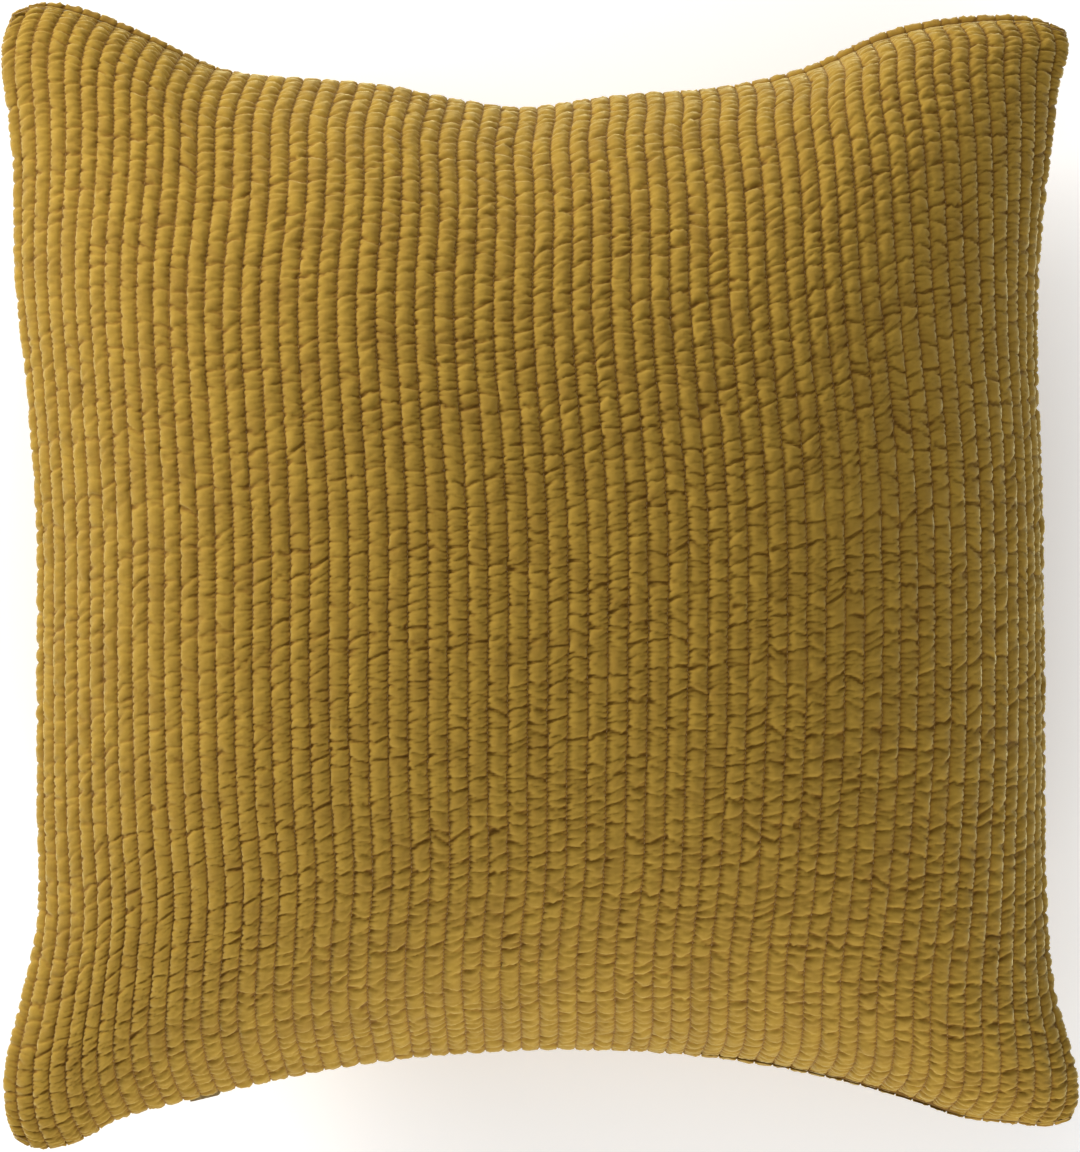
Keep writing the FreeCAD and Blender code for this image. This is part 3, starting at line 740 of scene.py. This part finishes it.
def velvet_material():
    """Velvet with painted shade darkening and browning its grooves and creases, uneven shades of
    its own, and the roughness of its pile.
    """
    made, nodes, links, shader = material(
        "ochre_velvet", (0.3, 0.172, 0.016), 0.85,
        Sheen_Weight=0.72, Sheen_Roughness=0.4, Sheen_Tint=(1, 0.91, 0.5, 1),
        Specular_IOR_Level=0.2)
    place = nodes.new("ShaderNodeAttribute")
    place.attribute_name = "cloth"
    relief = nodes.new("ShaderNodeAttribute")
    relief.attribute_name = "relief"
    nap = noise_node(nodes, links, place.outputs["Vector"], 60, 5, 0.6)
    tone = ramp_node(nodes, links, nap.outputs["Fac"], (0.3, (0.262, 0.148, 0.015)),
                     (0.5, (0.305, 0.18, 0.019)), (0.72, (0.35, 0.212, 0.024)))
    # Painted shade: where the relief is low, in the grooves and puckers, the colour is multiplied
    # darker and browner.
    painted_groove_shade = ramp_node(nodes, links, relief.outputs["Fac"], (0.0, (0.52, 0.4, 0.26)),
                       (0.25, (0.86, 0.78, 0.68)), (0.6, (1, 1, 1)))
    mix = nodes.new("ShaderNodeMix")
    mix.data_type = "RGBA"
    mix.blend_type = "MULTIPLY"
    mix.inputs["Factor"].default_value = 1
    links.new(tone.outputs["Color"], mix.inputs[6])
    links.new(painted_groove_shade.outputs["Color"], mix.inputs[7])
    links.new(mix.outputs[2], shader.inputs["Base Color"])
    pile = noise_node(nodes, links, place.outputs["Vector"], 2600, 3, 0.7)
    rub = noise_node(nodes, links, place.outputs["Vector"], 420, 4, 0.6)
    low = bump_node(nodes, links, rub.outputs["Fac"], 0.35, 0.5 * MM)
    high = bump_node(nodes, links, pile.outputs["Fac"], 0.3, 0.15 * MM)
    links.new(low.outputs["Normal"], high.inputs["Normal"])
    links.new(high.outputs["Normal"], shader.inputs["Normal"])
    return made


def plain_cloth(name, colour, scale, roughness=0.9):
    """Woven or fibrous cloth: two shades, and the bump of its threads."""
    made, nodes, links, shader = material(name, colour, roughness, Sheen_Weight=0.15)
    place = nodes.new("ShaderNodeTexCoord")
    weave = noise_node(nodes, links, place.outputs["Object"], scale, 3)
    darker = tuple(c * 0.8 for c in colour)
    tone = ramp_node(nodes, links, weave.outputs["Fac"], (0.35, darker), (0.65, colour))
    links.new(tone.outputs["Color"], shader.inputs["Base Color"])
    bump = bump_node(nodes, links, weave.outputs["Fac"], 0.4, 0.2 * MM)
    links.new(bump.outputs["Normal"], shader.inputs["Normal"])
    return made


def brass_material():
    """Brass with darker worn spots."""
    made, nodes, links, shader = material("antique_brass", (0.45, 0.33, 0.14), 0.35, Metallic=1)
    place = nodes.new("ShaderNodeTexCoord")
    wear = noise_node(nodes, links, place.outputs["Object"], 900, 4)
    tone = ramp_node(nodes, links, wear.outputs["Fac"], (0.35, (0.3, 0.21, 0.09)),
                     (0.65, (0.55, 0.42, 0.2)))
    links.new(tone.outputs["Color"], shader.inputs["Base Color"])
    gloss = ramp_node(nodes, links, wear.outputs["Fac"], (0.3, (0.5, 0.5, 0.5)),
                      (0.7, (0.28, 0.28, 0.28)))
    links.new(gloss.outputs["Color"], shader.inputs["Roughness"])
    return made


VELVET = velvet_material()
THREAD = plain_cloth("gold_thread", (0.3, 0.17, 0.03), 3000, 0.7)
SLOT_LOOKS = {
    "velvet": VELVET, "thread": THREAD,
    "wadding": plain_cloth("white_wadding", (0.86, 0.85, 0.82), 700),
    "backing_cloth": plain_cloth("backing_cloth", (0.8, 0.77, 0.68), 1800),
    "label_tape": plain_cloth("label_tape", (0.9, 0.9, 0.88), 2500, 0.5),
    "pad_cotton": plain_cloth("pad_cotton", (0.84, 0.82, 0.77), 1500),
    "filling": plain_cloth("fibre_filling", (0.9, 0.9, 0.87), 400),
    "zip_tape": plain_cloth("zip_tape", (0.36, 0.22, 0.045), 2200, 0.8),
    "zip_coil": plain_cloth("zip_coil", (0.3, 0.19, 0.04), 1500, 0.4),
    "zip_metal": brass_material(),
}


# --- The pieces ------------------------------------------------------------------------------

def build_panel(side, name, seed):
    base, u, v = base_surface(side)
    offsets = quilted_cloth(seed, END_FLATTENING[side])
    points, tangents = laid_over(base, offsets, side)
    # Height of the puff over the stitch lines; the velvet paints shade into its colour where this
    # is low.
    relief = np.clip(offsets[..., 2] / PUFF, 0, 1)
    panel = closed_panel(name + "_quilted_panel", side, points, u, v, relief, VELVET)
    thread = stitches(name + "_stitches", points, tangents, THREAD)
    for piece, slot in ((panel, "velvet"), (thread, "thread")):
        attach(piece, "pillow")
    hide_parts(name + "_velvet", name + "_wadding", name + "_backing",
                name + "_overlock_thread")
    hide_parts(name + "_quilting_thread")
    return points


front_points = build_panel(UP, "front", FRONT_SEED)
build_panel(DOWN, "back", BACK_SEED)
edge_thread = seam_thread("edge_seam_stitching", front_points, THREAD)
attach(edge_thread, "pillow")
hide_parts("edge_seam_thread")

slot_of = {part["node"]: part["material_slot"] for part in frame["record"]["subparts"]}
for node, obj in frame["nodes"].items():
    obj.data.materials.clear()
    obj.data.materials.append(SLOT_LOOKS[slot_of[node]])


# --- Floor, light and camera -----------------------------------------------------------------

def area_light(name, place, aim, size, power, colour=(1, 1, 1)):
    data = bpy.data.lights.new(name, "AREA")
    data.shape = "DISK"
    data.size = size
    data.energy = power
    data.color = colour
    light = bpy.data.objects.new(name, data)
    bpy.context.scene.collection.objects.link(light)
    light.location = place
    direction = np.array(aim) - np.array(place)
    light.rotation_mode = "QUATERNION"
    light.rotation_quaternion = Vector(direction).to_track_quat("-Z", "Y")


floor_material = material("pale_floor", (0.95, 0.95, 0.95), 0.9,
                          Emission_Color=(1, 1, 1, 1), Emission_Strength=0.2)[0]
floor = new_object("floor", [(-4, -4, 0), (4, -4, 0), (4, 4, 0), (-4, 4, 0)], [(0, 1, 2, 3)],
                   floor_material, smooth=False)

world = bpy.data.worlds.new("studio")
world.use_nodes = True
world.node_tree.nodes["Background"].inputs["Color"].default_value = (1, 1, 1, 1)
world.node_tree.nodes["Background"].inputs["Strength"].default_value = 0.42
bpy.context.scene.world = world
area_light("key", (-1.75, 0.75, 0.62), (0, 0, 0.06), 0.6, 40, (1, 0.99, 0.97))
area_light("head", (-0.2, 1.9, 0.62), (0, 0.1, 0.08), 1.0, 20)
area_light("foot", (0.3, -1.9, 0.5), (0, -0.12, 0.06), 1.0, 34)

CAMERA_HEIGHT = 2.5
VIEW_HEIGHT = 0.5372            # of the frame, at the seam
camera_data = bpy.data.cameras.new("camera")
camera = bpy.data.objects.new("camera", camera_data)
bpy.context.scene.collection.objects.link(camera)
camera.location = (0, 0, SEAM_Z + CAMERA_HEIGHT)
camera_data.lens = camera_data.sensor_width * CAMERA_HEIGHT / VIEW_HEIGHT
bpy.context.scene.camera = camera
bpy.context.scene.view_settings.view_transform = "Standard"
